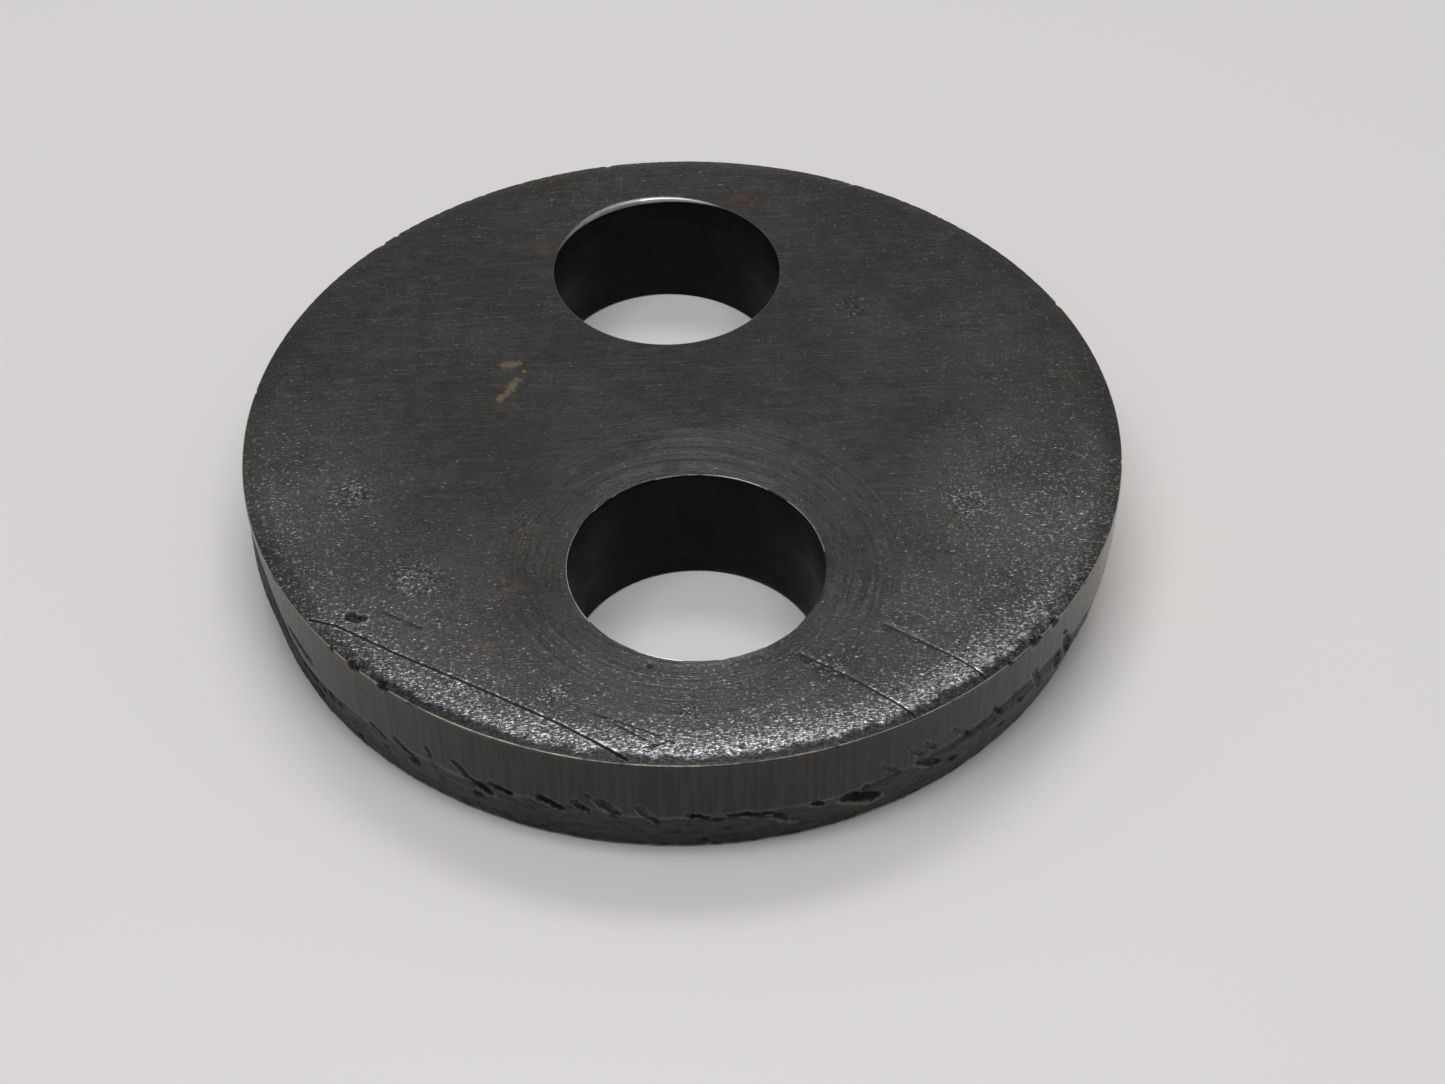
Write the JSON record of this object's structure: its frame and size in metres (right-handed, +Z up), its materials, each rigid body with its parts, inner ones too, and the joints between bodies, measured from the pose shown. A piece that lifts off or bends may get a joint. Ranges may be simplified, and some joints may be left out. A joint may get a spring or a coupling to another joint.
{
  "type": "shaft collar plate",
  "caption": "Thick round steel collar plate, blanked from flat stock, with parallel through bores of unequal size on one diameter that hold or space shafts.",
  "frame": {"origin": "centre of the plate's bottom face, on the axis of its outside diameter", "axes": "+Z up through the thickness, along both bores; +Y from the front bore to the rear bore"},
  "size_m": [0.1016, 0.1016, 0.0159],
  "materials": {
    "oiled_steel": "dark oiled hot-rolled steel: brown-black scale worn to a dull grey sheen, fine scratches, small dents, burnished edge with a torn lower third"
  },
  "bodies": {
    "root": {"collar_plate": "oiled_steel"}
  },
  "joints": []
}
